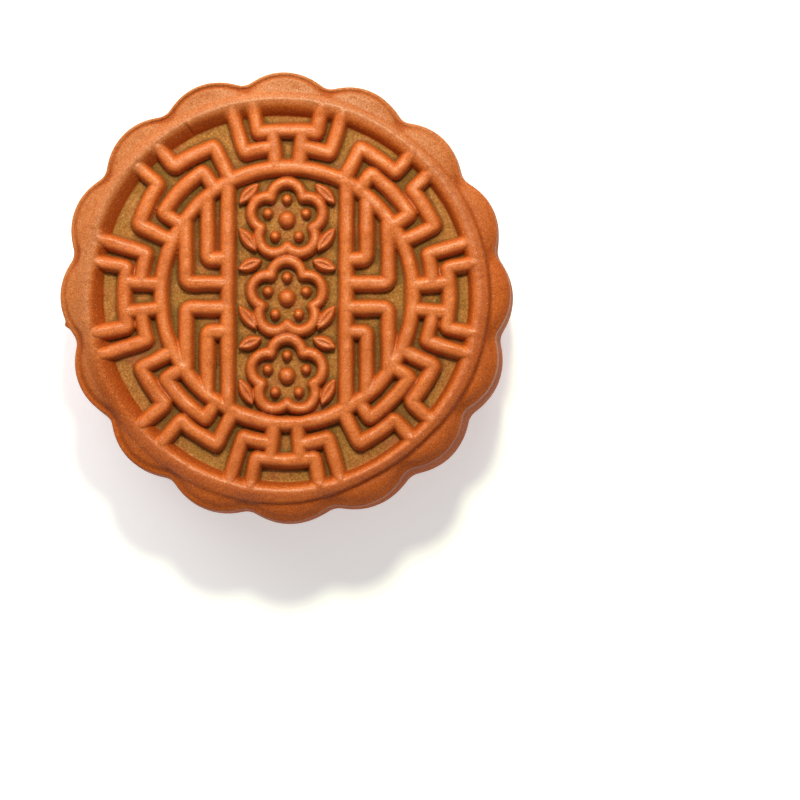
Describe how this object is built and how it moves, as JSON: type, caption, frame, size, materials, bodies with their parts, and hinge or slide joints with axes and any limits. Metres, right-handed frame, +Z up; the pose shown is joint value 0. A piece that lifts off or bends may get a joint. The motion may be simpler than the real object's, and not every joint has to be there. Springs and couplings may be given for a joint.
{
  "type": "mooncake",
  "caption": "Round baked mooncake with a scalloped side and a moulded fretwork on top, for a table, a plate or a gift box.",
  "frame": {"origin": "centre of the flat underside", "axes": "+Z up out of the moulded top, +Y towards the upper end of the panel, +X to its right"},
  "size_m": [0.079, 0.0788, 0.03],
  "materials": {
    "crust": "baked orange-brown pastry with a soft egg-wash gloss on the raised parts, drier and lighter in the recesses"
  },
  "bodies": {
    "root": {"mooncake": "crust"}
  },
  "joints": []
}
